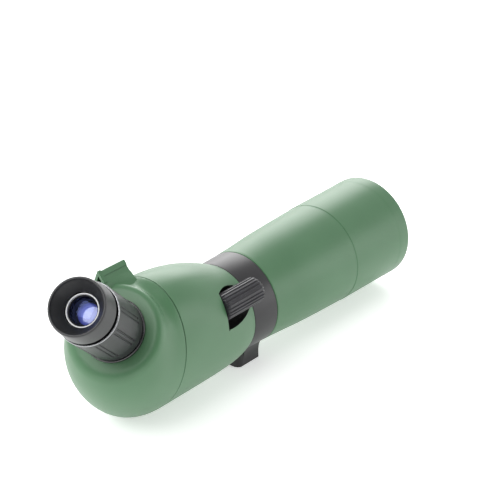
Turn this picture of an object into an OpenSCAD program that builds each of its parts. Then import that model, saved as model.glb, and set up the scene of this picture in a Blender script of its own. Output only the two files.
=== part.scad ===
// Angled zoom spotting scope with an 80 mm objective, held in a rotating tripod collar.
// Frame: millimetres, origin at the mouth of the tripod socket, in the middle of the foot's
// bottom face. +Z is up and +Y runs along the optical axis towards the objective.
// The tube turns in the collar, so its parts are drawn upright and then rolled together.

/* [Stand] */
// Height of the optical axis above the bottom of the foot
axis_height = 52.8; // [52:0.1:60]
// Roll of the tube in its collar, eyepiece tipped to the right
tube_roll = 24; // [0:1:45]
// Half of the collar's length along the optical axis
collar_half = 14; // [13:0.5:15]
// Outer radius of the collar
collar_r = 40.6; // [40:0.1:42]
// Width of the foot's bottom face
foot_width = 38; // [36:1:42]

/* [Tube] */
// Radius of the metal core tube that runs through the collar
core_r = 33.8; // [33:0.1:34]
// Where the sunshade's rear edge sits at rest
shade_rear = 119.3; // [118:0.1:121]
// Front edge of the sunshade at rest
shade_front = 196.1; // [195:0.1:198]
// Outer radius of the sunshade's front lip
shade_r = 48; // [47.5:0.1:49]
// Clear radius of the objective
lens_r = 40; // [39:0.1:40]

/* [Prism housing] */
// Position of the seam between the prism housing and the rear cap
seam_y = -114.9; // [-116:0.1:-113]
// Half width of the housing at the seam
seam_half_w = 47.4; // [46:0.1:49]
// Half height of the housing at the seam
seam_half_h = 66.5; // [65:0.1:68]
// Height of the seam's centre above the optical axis
seam_lift = 12.4; // [11:0.1:13]
// Wall thickness of the moulded shells
shell = 2.6; // [2.4:0.1:3]

/* [Eyepiece] */
// Position along the optical axis of the eyepiece's lower end
eye_y = -160.1; // [-162:0.1:-158]
// Height of the eyepiece's lower end above the optical axis
eye_z = 55.4; // [54:0.1:57]
// Radius of the raised shoulder round the eyepiece port
port_r = 38; // [37:0.1:40]
// Outer radius of the zoom grip
grip_r = 24.9; // [24.6:0.1:25.2]
// Top of the zoom ring, along the eyepiece axis
zoom_top = 57.6; // [57:0.1:58]
// Rim of the eyecup, along the eyepiece axis
eyecup_rim = 80.7; // [80:0.1:82]

/* [Focus knob] */
// Distance from the optical axis to the knob's axis
knob_reach = 53.4; // [53:0.1:55]
// Angle of the knob round the optical axis, from the right-hand side
knob_angle = 62; // [60:1:64]
// Radius of the knob
knob_r = 11.2; // [10.8:0.1:11.4]
// Number of grooves round the knob
knob_grooves = 22; // [18:1:24]

/* [Hidden] */

fit = 0.08;                          // radial clearance of the running fits
joint_gap = 0.35;                    // dark gap on each side of the collar
shell_front = -collar_half - joint_gap;
neck_r = 44.5;                       // tube under the sunshade
shade_bore = 45.6;
glass_bore = lens_r + 0.05;
cell_front = 190;
knob_x = knob_reach * cos(knob_angle);
knob_z = knob_reach * sin(knob_angle);
knob_front = -14.1;
knob_rear = -59;
recess_rear = -60;
pocket_shift = 2.5;                  // the pocket leaves more room under the knob than over it
shaft_r = 3;
bush_r = 5;
pocket_wall_r = 19.8;
chassis_y = -92;                     // rear face of the chassis plate
seam_gap = 0.6;                      // room for the gasket
saddle_r = 19.6;                     // half width of the prism's shelf
barrel_r = 20.2;
eye_bore = 17;
sight_x = -39.4;                     // ridge of the finder sight
sight_z = 78.7;
sight_tilt = 31;
sight_rear = -147.6;
sight_front = seam_y - 3.8;
sight_depth = 10.4;                  // ridge to the floor of the tunnel
sight_half = 31;                     // half of the angle between the sight's sides
ring_n = 48;                         // points round a moulded shell
shell_screws = [-40, 140, 220];      // angles of the chassis screws round the axis

// ---- frames and shared shapes ----

// The tube's own frame: the optical axis along Y, rolled in the collar
module in_tube() translate([0, 0, axis_height]) rotate([0, tube_roll, 0]) children();

// The eyepiece's frame: its axis along Z, tilted 45 degrees back
module in_eyepiece() in_tube() translate([0, eye_y, eye_z]) rotate([45, 0, 0]) children();

// The focus knob's frame: its axis along Y
module in_knob() in_tube() translate([knob_x, 0, knob_z]) children();

// Turns an outline of (radius, position) points about the Y axis
module turned(points) rotate([-90, 0, 0]) rotate_extrude($fn = 96) polygon(points);

// Plain tube along Y
module tube(outer, inner, y0, y1)
    turned([[inner, y0], [outer, y0], [outer, y1], [inner, y1]]);

// Plain rod along Y
module rod(r, y0, y1) translate([0, y0, 0]) rotate([-90, 0, 0]) cylinder(r = r, h = y1 - y0, $fn = 48);

// Ring along the eyepiece axis
module ring(outer, inner, t0, t1) {
    rotate_extrude($fn = 96) polygon([[inner, t0], [outer, t0], [outer, t1], [inner, t1]]);
}

// Points of an arc, for domed lenses: centre height, radius of the edge, sagitta and steps
function dome(edge_r, z0, sag, steps = 8) =
    let (ball = (edge_r * edge_r + sag * sag) / (2 * sag))
    [for (i = [0:steps]) let (x = edge_r * (1 - i / steps))
        [x, z0 + sqrt(ball * ball - x * x) - (ball - sag)]];

// Lens between two domes, as (radius, position) points
function lens_outline(r, z0, z1, sag0, sag1) =
    let (front = dome(r, z1, sag1), back = dome(r, 0, sag0))
    concat(front, [for (i = [len(back) - 1:-1:0]) [back[i][0], z0 - back[i][1]]]);

// Closed shell over rings of points, each ring with the same number of points
module lofted(rings) {
    n = len(rings[0]);
    m = len(rings);
    polyhedron(
        points = [for (one = rings) each one],
        faces = concat(
            [[for (i = [n - 1:-1:0]) i]],
            [for (j = [0:m - 2]) for (i = [0:n - 1]) let (k = (i + 1) % n)
                [j * n + i, j * n + k, (j + 1) * n + k, (j + 1) * n + i]],
            [[for (i = [0:n - 1]) (m - 1) * n + i]]
        ),
        convexity = 6
    );
}

// ---- the housing's and the cap's curves ----

// Half width, half height and lift of the housing's oval at s, from 0 at the collar to 1 at the seam
function rise(s) = pow(sin(90 * s), 1.15);
function oval_w(s) = collar_r + (seam_half_w - collar_r) * (1 - pow(1 - s, 6));
function oval_h(s) = collar_r + 2 * (1 - pow(1 - s, 12)) + (seam_half_h - collar_r - 2) * rise(s);
function oval_ring(y, w, h, lift) =
    [for (i = [0:ring_n - 1]) let (a = 360 * i / ring_n) [w * sin(a), y, lift + h * cos(a)]];

stations = [0, 0.015, 0.04, 0.08, 0.14, 0.22, 0.32, 0.44, 0.58, 0.72, 0.86, 1];
function housing_rings(inset, y0, y1) =
    [for (s = stations) oval_ring(
        y0 + (y1 - y0) * s, oval_w(s) - inset, oval_h(s) - inset, seam_lift * rise(s))];

// The eyepiece frame's axes, written in the tube's frame
eye_axis = [0, -sqrt(0.5), sqrt(0.5)];
eye_up = [0, sqrt(0.5), sqrt(0.5)];
eye_base = [0, eye_y, eye_z];
port_face = -2;
shoulder = 6.5;                       // length of the shoulder's rounded edge

function bezier3(a, b, c, d, t) =
    a * pow(1 - t, 3) + b * 3 * t * pow(1 - t, 2) + c * 3 * t * t * (1 - t) + d * pow(t, 3);
function bezier2(a, b, c, t) = a * pow(1 - t, 2) + b * 2 * t * (1 - t) + c * t * t;

// One line of the cap's skin, at angle a round it, from the seam to the flat of the port
function cap_line(a, inset, y0) =
    let (
        start = [(seam_half_w - inset) * sin(a), y0, seam_lift + (seam_half_h - inset) * cos(a)],
        out = [sin(a), 0, 0] + eye_up * cos(a),
        face = port_face - inset,
        corner = eye_base + out * (port_r - inset) + eye_axis * face,
        lean = 0.5 * (1 - cos(a)) * 0.75,
        arrive = eye_axis - out * lean,
        unit = arrive / norm(arrive),
        edge = corner - unit * shoulder,
        inner = corner - out * shoulder,
        reach = norm(edge - start)
    )
    concat(
        [for (t = [0:0.125:1]) bezier3(
            start, start + [0, -0.29 * reach, 0], edge - unit * 0.36 * reach, edge, t)],
        [for (t = [0.25:0.25:1]) bezier2(edge, corner, inner, t)]
    );
function cap_rings(inset, y0) =
    let (lines = [for (i = [0:ring_n - 1]) cap_line(360 * i / ring_n, inset, y0)])
    [for (j = [0:len(lines[0]) - 1]) [for (i = [0:ring_n - 1]) lines[i][j]]];

// Scooped pocket that the focus knob turns in
module in_pocket()
    translate([knob_x + pocket_shift * sin(knob_angle), 0, knob_z - pocket_shift * cos(knob_angle)]) children();

module knob_pocket() {
    turned([[0, recess_rear], [16.2, recess_rear], [16.8, -53], [16.9, -46], [16.5, -40],
        [15.8, -34], [15, -28], [14.3, -22], [14.1, -16], [14.1, 0], [0, 0]]);
}

// ---- stand ----

module tripod_collar() color([0.13, 0.13, 0.14]) {
    difference() {
        union() {
            translate([0, 0, axis_height]) turned([
                [36.55, -collar_half], [collar_r - 0.6, -collar_half], [collar_r, -collar_half + 0.6],
                [collar_r + 0.8, collar_half - 0.6], [collar_r + 0.2, collar_half], [36.55, collar_half]]);
            foot();
            lock_boss();
        }
        translate([0, 0, -1]) cylinder(r = 5, h = 11, $fn = 48);
        translate([0, 0, axis_height]) rod(36.55, -collar_half - 1, collar_half + 1);
        translate([0, 0, axis_height]) rotate([0, -90, 0]) cylinder(r = 3.05, h = 60, $fn = 48);
    }
}

// Foot under the collar: flared into the ring, with rounded upright corners
module foot() {
    half = foot_width / 2;
    intersection() {
        rotate([90, 0, 0]) translate([0, 0, -20]) linear_extrude(40) polygon([
            [-half, 0], [half, 0], [half, 7], [half + 1.5, 13], [half + 5.5, 20], [half + 10, 26],
            [0, 40], [-half - 10, 26], [-half - 5.5, 20], [-half - 1.5, 13], [-half, 7]]);
        linear_extrude(60) foot_plan(half + 12);
    }
}

module foot_plan(half) {
    back = 12;
    corner = 6;
    union() {
        translate([-half, -back + corner]) square([2 * half, back - corner + collar_half]);
        translate([-foot_width / 2 + corner, -back]) square([foot_width - 2 * corner, back]);
        for (side = [-1, 1]) translate([side * (foot_width / 2 - corner), -back + corner])
            circle(r = corner, $fn = 48);
    }
}

module lock_boss() {
    translate([0, 0, axis_height]) rotate([0, -90, 0]) translate([0, 0, 38])
        cylinder(r = 8.5, h = 7.5, $fn = 64);
}

module thread_insert() color([0.72, 0.62, 0.36]) {
    difference() {
        cylinder(r = 4.98, h = 9.8, $fn = 48);
        translate([0, 0, -1]) cylinder(r = 2.6, h = 20, $fn = 48);
    }
}

module collar_liner() color([0.2, 0.2, 0.2]) {
    difference() {
        translate([0, 0, axis_height]) tube(36.5, core_r + fit, -collar_half + 0.8, collar_half - 0.8);
        translate([0, 0, axis_height]) rotate([0, -90, 0]) cylinder(r = 3.05, h = 60, $fn = 48);
    }
}

// Lobed knob of the collar's lock screw
module lock_knob() color([0.1, 0.1, 0.11]) {
    lobes = 7;
    translate([0, 0, axis_height]) rotate([0, -90, 0]) translate([0, 0, 46.5]) difference() {
        union() {
            cylinder(r = 7, h = 3, $fn = 64);
            translate([0, 0, 3]) cylinder(r = 12, h = 11, $fn = 64);
        }
        for (i = [0:lobes - 1]) rotate([0, 0, i * 360 / lobes]) translate([14.4, 0, 2])
            cylinder(r = 4, h = 14, $fn = 32);
        translate([0, 0, -1]) cylinder(r = 3.02, h = 9, $fn = 48);
    }
}

module lock_stud() color([0.75, 0.75, 0.76]) {
    translate([0, 0, axis_height]) rotate([0, -90, 0]) translate([0, 0, core_r + 0.5])
        cylinder(r = 3, h = 46.5 + 7 - core_r - 0.5, $fn = 48);
}

// ---- tube ----

module core_tube() color([0.16, 0.16, 0.17]) in_tube() {
    tube(core_r, core_r - 2.2, -30, 34);
}

module front_tube() color([0.42, 0.57, 0.44]) in_tube() {
    turned([
        [core_r + 0.05, -shell_front], [40.8, -shell_front], [41.6, 15.4], [41.9, 22], [42.8, 36],
        [44.4, 58], [45.6, 84], [46.3, 108], [46.5, shade_rear - 0.4], [neck_r, shade_rear - 0.4],
        [neck_r, 167], [43.8, 167], [43.8, 178], [neck_r, 178], [neck_r, cell_front],
        [42.6, cell_front], [42.6, 172], [42, 170], [42, shade_rear], [41, 60], [39.4, 36],
        [38.6, 20], [core_r + 2.6, 20], [core_r + 2.6, 34], [core_r + 0.05, 34]]);
}

// Blackened rings that stop stray light on the way to the prism
module light_baffles() color([0.05, 0.05, 0.05]) in_tube() {
    for (b = [[60, 40.9, 31], [95, 41.4, 34], [130, 41.95, 37]])
        turned([[b[2], b[0] - 0.8], [b[1], b[0] - 0.8], [b[1], b[0] + 0.8], [b[2], b[0] + 0.2]]);
}

module objective_cell() color([0.08, 0.08, 0.09]) in_tube() {
    turned([[39, 172.2], [42.55, 172.2], [42.55, cell_front], [glass_bore + 0.9, cell_front],
        [glass_bore + 0.9, 184.4], [glass_bore, 184.4], [glass_bore, 174.2], [39, 174.2]]);
}

module objective_crown() color([0.75, 0.85, 0.9, 0.4]) in_tube() {
    turned(lens_outline(lens_r, 181.6, 184.2, 2.4, 2.4));
}

module objective_spacer() color([0.1, 0.1, 0.1]) in_tube() {
    tube(lens_r, lens_r - 0.8, 181.05, 181.45);
}

module objective_flint() color([0.75, 0.85, 0.9, 0.4]) in_tube() {
    hollow = dome(lens_r - 1, 0, 2.6);
    turned(concat(
        [for (p = hollow) [p[0], 181 - p[1]]],
        [[0, 174.4], [lens_r, 174.4], [lens_r, 181]]));
}

module objective_retainer() color([0.08, 0.08, 0.09]) in_tube() {
    tube(glass_bore + 0.85, lens_r - 1.2, 184.5, 187.5);
}

// Friction ring in a groove, which the sunshade slides on
module shade_guide_ring() color([0.12, 0.12, 0.12]) in_tube() {
    tube(shade_bore - fit, 43.85, 167.3, 177.7);
}

module sunshade() color([0.42, 0.57, 0.44]) in_tube() {
    lip = 0.8;
    turned([
        [44.8, shade_rear], [shade_r - 1.2, shade_rear], [shade_r - 0.9, shade_rear + 0.5],
        [shade_r - 0.2, shade_front - 14], [shade_r, shade_front - 12], [shade_r, shade_front - lip],
        [shade_r - 0.4, shade_front], [shade_bore + 0.5, shade_front],
        [shade_bore, shade_front - lip], [shade_bore, shade_rear + 2.5], [44.8, shade_rear + 2.5]]);
}

// ---- prism housing and rear cap ----

module prism_housing() color([0.42, 0.57, 0.44]) in_tube() {
    difference() {
        union() {
            difference() {
                lofted(housing_rings(0, shell_front, seam_y));
                lofted(housing_rings(shell, shell_front - 3, seam_y - 1));
            }
            difference() {
                intersection() {
                    lofted(housing_rings(0.5, shell_front - 0.5, seam_y));
                    in_pocket() turned([[0, recess_rear - 3], [pocket_wall_r, recess_rear - 3],
                        [pocket_wall_r, -16], [0, -16]]);
                }
                rod(core_r + 2, recess_rear - 8, 0);
            }
            tube(39, core_r + 0.05, -30, -16.5);
            for (a = shell_screws) translate([38 * cos(a), 0, 38 * sin(a)]) rod(4, chassis_y + 3.1, -17);
        }
        rod(core_r + 0.05, -60, 0);
        for (a = shell_screws) translate([38 * cos(a), 0, 38 * sin(a)]) rod(1.55, chassis_y, chassis_y + 14);
        in_pocket() knob_pocket();
        translate([knob_x, 0, knob_z]) rod(bush_r + 0.02, recess_rear - 8, recess_rear + 8);
    }
}

// Thin gasket in the seam
module cap_seal() color([0.05, 0.05, 0.05]) in_tube() {
    rotate([90, 0, 0]) translate([0, 0, -seam_y + 0.02]) linear_extrude(0.56) difference() {
        polygon([for (p = oval_ring(0, seam_half_w - 0.7, seam_half_h - 0.7, seam_lift)) [p[0], p[2]]]);
        polygon([for (p = oval_ring(0, seam_half_w - 2.4, seam_half_h - 2.4, seam_lift)) [p[0], p[2]]]);
    }
}

module rear_cap() color([0.42, 0.57, 0.44]) in_tube() {
    difference() {
        union() {
            difference() {
                lofted(cap_rings(0, seam_y - seam_gap));
                lofted(cap_rings(shell, seam_y));
            }
            translate(eye_base) rotate([45, 0, 0]) ring(25, 20, -20, port_face - 1);
        }
        translate(eye_base) rotate([45, 0, 0]) translate([0, 0, -30]) cylinder(r = barrel_r + 0.05, h = 40, $fn = 64);
    }
}

// Solid base under the sight's tunnel, which runs down into the cap
module sight_plinth()
    translate([0, sight_front, 0]) rotate([90, 0, 0]) linear_extrude(sight_front - sight_rear - 0.4)
        polygon([[-6.2, -sight_depth + 0.2], [6.2, -sight_depth + 0.2], [6.6, -17.5], [0, -21], [-6.6, -25]]);

// Peep sight: a narrow gabled tunnel along the tube, with a raised rim at the rear
module finder_sight() color([0.42, 0.57, 0.44]) in_tube() {
    translate([sight_x, 0, sight_z]) rotate([0, -sight_tilt, 0]) {
        difference() {
            union() {
                gable(1.2, sight_depth, sight_rear + 0.8, sight_front);
                gable(0, sight_depth, sight_rear, sight_rear + 3.2);
                sight_plinth();
            }
            gable(4.6, sight_depth, sight_rear - 2, sight_front + 2);
        }
    }
}

// Gable along Y, its ridge lowered by drop, open downwards to the given depth
module gable(drop, depth, y0, y1) {
    half = (depth - drop) * tan(sight_half);
    rotate([90, 0, 0]) translate([0, 0, -y1]) linear_extrude(y1 - y0)
        polygon([[0.5, -drop], [half, -depth], [-half, -depth], [-0.5, -drop]]);
}

// ---- inside the housing ----

// Cast plate that carries the prism and the guide rods
module prism_chassis() color([0.2, 0.2, 0.21]) in_tube() {
    difference() {
        union() {
            rod(41, chassis_y, chassis_y + 3);
            translate([knob_x, 0, knob_z]) rod(7, chassis_y, chassis_y + 3);
            rotate([0, -knob_angle, 0]) translate([36, chassis_y, -6]) cube([knob_reach - 36, 3, 12]);
            translate([-saddle_r, -130, -20.2]) cube([2 * saddle_r, 39, 4]);
            for (side = [-1, 1]) translate([side * (saddle_r - 1) - 1, -112, -20.2]) cube([2, 21, 36]);
        }
        rod(24, chassis_y - 1, chassis_y + 4);
        translate([knob_x, 0, knob_z]) rod(shaft_r + fit, chassis_y - 1, chassis_y + 4);
        for (a = shell_screws) translate([38 * cos(a), 0, 38 * sin(a)])
            rod(1.65, chassis_y - 1, chassis_y + 4);
        for (p = rod_places) translate([p[0], 0, p[1]]) rod(2, chassis_y - 1, chassis_y + 4);
    }
}
rod_places = [[-30, 14], [30, -14]];

module chassis_screws() color([0.7, 0.7, 0.72]) in_tube() {
    for (a = shell_screws) translate([38 * cos(a), 0, 38 * sin(a)]) union() {
        rod(1.5, chassis_y - 0.05, chassis_y + 12);
        rod(2.9, chassis_y - 2.1, chassis_y - 0.05);
    }
}

// 45 degree roof prism on the chassis shelf
module roof_prism() color([0.75, 0.85, 0.9, 0.4]) in_tube() {
    intersection() {
        rotate([90, 0, 90]) translate([0, 0, -16]) linear_extrude(32) polygon([
            [-96, -15.9], [-96, 24], [-106.1, 24], [-131.4, -1.3]]);
        translate([0, -96, -15.9]) rotate([-22.4, 0, 0]) rotate([0, -45, 0])
            translate([0, -60, 0]) cube([70, 100, 70]);
    }
}

module prism_strap() color([0.7, 0.7, 0.72]) in_tube() {
    difference() {
        translate([-saddle_r - 1.5, -104, -14]) cube([2 * saddle_r + 3, 6, 39.6]);
        translate([-saddle_r - 0.05, -105, -15]) cube([2 * saddle_r + 0.1, 8, 39.2]);
    }
}

module strap_screws() color([0.7, 0.7, 0.72]) in_tube() {
    for (side = [-1, 1]) translate([side * (saddle_r + 1.55), -101, -8]) rotate([0, side * 90, 0])
        cylinder(r = 2.4, h = 1.6, $fn = 32);
}

module guide_rods() color([0.8, 0.8, 0.82]) in_tube() {
    for (p = rod_places) translate([p[0], 0, p[1]]) rod(1.98, chassis_y + 0.2, -66);
}

module focus_bushing() color([0.72, 0.62, 0.36]) in_knob() {
    difference() {
        rod(bush_r, recess_rear - 6, recess_rear - 0.1);
        rod(shaft_r + fit, recess_rear - 8, recess_rear + 2);
    }
}

// ---- focus drive ----

module focus_knob() color([0.1, 0.1, 0.11]) in_knob() {
    difference() {
        turned([[0, knob_rear], [knob_r - 0.5, knob_rear], [knob_r, knob_rear + 0.5],
            [knob_r, knob_front - 3.2], [knob_r - 0.4, knob_front - 1.8],
            [knob_r - 1.4, knob_front - 0.7], [knob_r - 3, knob_front], [0, knob_front]]);
        for (i = [0:knob_grooves - 1]) rotate([0, i * 360 / knob_grooves, 0])
            translate([knob_r + 0.25, 0, 0]) rod(0.85, knob_rear - 1, knob_front + 1);
        rod(shaft_r + 0.03, knob_rear - 1, knob_front - 4);
    }
}

module focus_shaft() color([0.8, 0.8, 0.82]) in_knob() {
    rod(shaft_r, chassis_y - 4, knob_front - 4.2);
}

module shaft_clip() color([0.7, 0.7, 0.72]) in_knob() {
    tube(5, shaft_r + 0.02, chassis_y - 1.4, chassis_y - 0.6);
}

// Carriage of the focusing lens, driven along the rods by the nut on the shaft
module focus_carriage() color([0.2, 0.2, 0.21]) in_tube() {
    difference() {
        union() {
            rod(24, -83, -76);
            hull() {
                translate([20, 0, 0]) rod(3, -82, -77);
                translate([-20, 0, 0]) rod(3, -82, -77);
                translate([rod_places[0][0], 0, rod_places[0][1]]) rod(4.5, -82, -77);
                translate([rod_places[1][0], 0, rod_places[1][1]]) rod(4.5, -82, -77);
            }
            hull() {
                translate([0, 0, 12]) rod(6, -82, -77);
                translate([knob_x, 0, knob_z]) rod(6.5, -82, -77);
            }
        }
        rod(20, -84, -75);
        for (p = rod_places) translate([p[0], 0, p[1]]) rod(2.06, -84, -75);
        translate([knob_x, 0, knob_z]) rod(5.5, -84, -75);
    }
}

module focus_lens() color([0.75, 0.85, 0.9, 0.4]) in_tube() {
    turned(lens_outline(19.95, -80.6, -78.4, 1.4, 1.4));
}

module lead_nut() color([0.72, 0.62, 0.36]) in_knob() {
    tube(5.45, shaft_r + fit, -83.5, -75.5);
}

// ---- eyepiece ----

module port_ring() color([0.06, 0.06, 0.07]) in_eyepiece() {
    rotate_extrude($fn = 96) polygon([[barrel_r + 0.1, port_face + 0.02], [25.2, port_face + 0.02],
        [25.6, port_face + 0.8], [25.6, 1], [25, 1.7], [barrel_r + 0.1, 1.7]]);
}

module eyepiece_barrel() color([0.12, 0.12, 0.13]) in_eyepiece() {
    ring(barrel_r, eye_bore, -22, 64.5);
}

module field_stop() color([0.05, 0.05, 0.05]) in_eyepiece() ring(eye_bore - 0.05, 10, -21, -19.6);

module eyecup_sleeve() color([0.05, 0.05, 0.05]) in_eyepiece() ring(21.2, barrel_r + 0.05, 58.3, 65.8);

module eye_lens_cell() color([0.07, 0.07, 0.08]) in_eyepiece() {
    rotate_extrude($fn = 96) polygon([[eye_bore - 0.05, 54], [eye_bore - 0.05, 64.55], [20, 64.55],
        [20, 65.4], [13.1, 65.4], [13.1, 66.4], [11.05, 66.4], [11.05, 62], [10.4, 62], [10.4, 54]]);
}

module eye_lens() color([0.45, 0.5, 0.8, 0.5]) in_eyepiece() {
    rotate_extrude($fn = 96) polygon(lens_outline(11, 63, 65.6, 1, 2.6));
}

module eye_lens_ring() color([0.92, 0.92, 0.93]) in_eyepiece() {
    rotate_extrude($fn = 96) polygon([[11.8, 66.45], [13.1, 66.45], [13.1, 68], [12.8, 68.3],
        [12.2, 68.3], [11.8, 67.6]]);
}

module zoom_sleeve() color([0.12, 0.12, 0.13]) in_eyepiece() {
    rotate_extrude($fn = 96) polygon([[barrel_r + fit, 2.4], [22.5, 2.4], [22.5, zoom_top - 2.15],
        [24, zoom_top - 2.15], [24, zoom_top - 0.3], [barrel_r + fit, zoom_top - 0.3]]);
}

// Rubber grip: raised panels parted by pairs of grooves, over a plain lower band
module zoom_grip() color([0.2, 0.2, 0.21]) in_eyepiece() {
    panels = 9;
    difference() {
        rotate_extrude($fn = 96) polygon([[22.55, 2.4], [24, 2.4], [24.5, 3], [24.5, 12],
            [grip_r, 13.2], [grip_r, zoom_top - 2.2], [22.55, zoom_top - 2.2]]);
        for (i = [0:panels - 1]) for (side = [-4, 4]) rotate([0, 0, (i + 0.5) * 360 / panels + side])
            translate([grip_r + 0.2, 0, 14]) cylinder(r = 0.7, h = zoom_top - 19, $fn = 24);
    }
}

module silver_ring() color([0.78, 0.78, 0.8]) in_eyepiece() {
    rotate_extrude($fn = 96) polygon([[24.05, zoom_top - 2.15], [25.1, zoom_top - 2.15],
        [25.1, zoom_top - 0.5], [24.8, zoom_top], [24.05, zoom_top]]);
}

module variator_cell() color([0.2, 0.2, 0.21]) in_eyepiece() ring(eye_bore - fit, 13, 4, 14);

module variator_lens() color([0.75, 0.85, 0.9, 0.4]) in_eyepiece() {
    rotate_extrude($fn = 96) polygon(lens_outline(12.95, 8, 10, 1.2, 1.2));
}

module compensator_cell() color([0.2, 0.2, 0.21]) in_eyepiece() ring(eye_bore - fit, 13, 38, 46);

module compensator_lens() color([0.75, 0.85, 0.9, 0.4]) in_eyepiece() {
    rotate_extrude($fn = 96) polygon(lens_outline(12.95, 41, 43, 1.2, 1.2));
}

// Rubber eyecup: tapered skirt, rounded rim and a cone down to the eye lens
module eyecup() color([0.14, 0.14, 0.15]) in_eyepiece() {
    rotate_extrude($fn = 96) polygon([[21.2 + fit, 60.9], [23.5, 60.9], [23.9, 61.4],
        [22.9, eyecup_rim - 1.4], [22.4, eyecup_rim - 0.4], [21.8, eyecup_rim],
        [21.2, eyecup_rim - 0.3], [20.8, eyecup_rim - 1.2], [13.6, 70], [13.6, 68.6],
        [21.2 + fit, 68.6]]);
}

tripod_collar();
thread_insert();
collar_liner();
lock_knob();
lock_stud();
core_tube();
front_tube();
light_baffles();
objective_cell();
objective_crown();
objective_spacer();
objective_flint();
objective_retainer();
shade_guide_ring();
sunshade();
prism_housing();
cap_seal();
rear_cap();
finder_sight();
prism_chassis();
chassis_screws();
roof_prism();
prism_strap();
strap_screws();
guide_rods();
focus_bushing();
focus_knob();
focus_shaft();
shaft_clip();
focus_carriage();
focus_lens();
lead_nut();
port_ring();
eyepiece_barrel();
field_stop();
eyecup_sleeve();
eye_lens_cell();
eye_lens();
eye_lens_ring();
zoom_sleeve();
zoom_grip();
silver_ring();
variator_cell();
variator_lens();
compensator_cell();
compensator_lens();
eyecup();
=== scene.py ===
import math

import bmesh
import bpy
from mathutils import Matrix, Vector


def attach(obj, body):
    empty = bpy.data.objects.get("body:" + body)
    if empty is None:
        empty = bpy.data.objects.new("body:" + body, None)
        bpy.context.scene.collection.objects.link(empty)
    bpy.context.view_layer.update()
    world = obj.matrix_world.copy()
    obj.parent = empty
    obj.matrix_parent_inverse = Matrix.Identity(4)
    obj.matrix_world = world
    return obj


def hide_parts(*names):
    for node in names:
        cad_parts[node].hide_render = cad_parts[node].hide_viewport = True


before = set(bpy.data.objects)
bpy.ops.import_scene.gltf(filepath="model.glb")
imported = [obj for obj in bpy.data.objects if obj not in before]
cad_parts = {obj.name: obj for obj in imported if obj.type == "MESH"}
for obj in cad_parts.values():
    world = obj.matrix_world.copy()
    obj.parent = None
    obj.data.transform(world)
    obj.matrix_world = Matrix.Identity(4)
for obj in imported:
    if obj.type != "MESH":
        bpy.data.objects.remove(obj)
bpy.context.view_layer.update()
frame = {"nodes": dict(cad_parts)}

# Camera: behind the eyepiece, to the right of the tube and above it, on a long lens.
# The optical axis runs level, 52.8 mm over the foot that the scope stands on.
MM = 0.001
AXIS_HEIGHT = 52.8 * MM
camera_data = bpy.data.cameras.new("camera")
camera_data.sensor_width = 36
camera_data.lens = 120.6
camera = bpy.data.objects.new("camera", camera_data)
bpy.context.scene.collection.objects.link(camera)
camera.matrix_world = (
    Matrix.Translation((0.8106, -0.9077, 0.6971))
    @ Matrix.Rotation(math.radians(41.29), 4, "Z")
    @ Matrix.Rotation(math.radians(90 - 25.67), 4, "X")
    @ Matrix.Rotation(math.radians(-1.51), 4, "Z")
)
bpy.context.scene.camera = camera
bpy.context.scene.view_settings.view_transform = "Standard"


def linear(code, alpha=1.0):
    """Linear colour of an sRGB hex code such as "#6c8f70"."""
    parts = [int(code[i : i + 2], 16) / 255 for i in (1, 3, 5)]
    return [p / 12.92 if p <= 0.04045 else ((p + 0.055) / 1.055) ** 2.4 for p in parts] + [alpha]


def add(tree, kind, settings=(), links=()):
    """Adds a node with its settings and with links from other nodes' outputs."""
    node = tree.nodes.new("ShaderNode" + kind)
    for key, value in dict(settings).items():
        if isinstance(key, int) or key in node.inputs:
            node.inputs[key].default_value = value
        else:
            setattr(node, key, value)
    for key, source in dict(links).items():
        tree.links.new(source, node.inputs[key])
    return node


# Floor and light: a backlit white table in a white room, with a dark flag behind the camera.
# Large softboxes above, ahead and behind give the satin shells their pale edges.
floor_mesh = bpy.data.meshes.new("floor")
floor_mesh.from_pydata([(-6, -6, 0), (6, -6, 0), (6, 6, 0), (-6, 6, 0)], [], [(0, 1, 2, 3)])
floor = bpy.data.objects.new("floor", floor_mesh)
bpy.context.scene.collection.objects.link(floor)
floor_paint = bpy.data.materials.new("backlit_white_table")
floor_paint.use_nodes = True
floor_tree = floor_paint.node_tree
floor_shader = floor_tree.nodes["Principled BSDF"]
floor_shader.inputs["Base Color"].default_value = linear("#f6f6f6")
floor_shader.inputs["Roughness"].default_value = 0.9
floor_shader.inputs["Emission Color"].default_value = linear("#ffffff")
floor_shader.inputs["Emission Strength"].default_value = 0.5
floor_mesh.materials.append(floor_paint)

world = bpy.data.worlds.new("studio")
world.use_nodes = True
sky = world.node_tree
sky_place = add(sky, "TexCoord").outputs["Generated"]
towards_camera = add(sky, "VectorMath", {"operation": "DOT_PRODUCT", 1: (0.62, -0.66, 0.43)}, {0: sky_place})
flag = add(
    sky,
    "MapRange",
    {"interpolation_type": "SMOOTHSTEP", "From Min": 0.1, "From Max": 0.85, "To Min": 0.95, "To Max": 0.25},
    {"Value": towards_camera.outputs["Value"]},
)
sky.links.new(flag.outputs["Result"], sky.nodes["Background"].inputs["Strength"])
sky.nodes["Background"].inputs["Color"].default_value = linear("#ffffff")
bpy.context.scene.world = world

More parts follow.
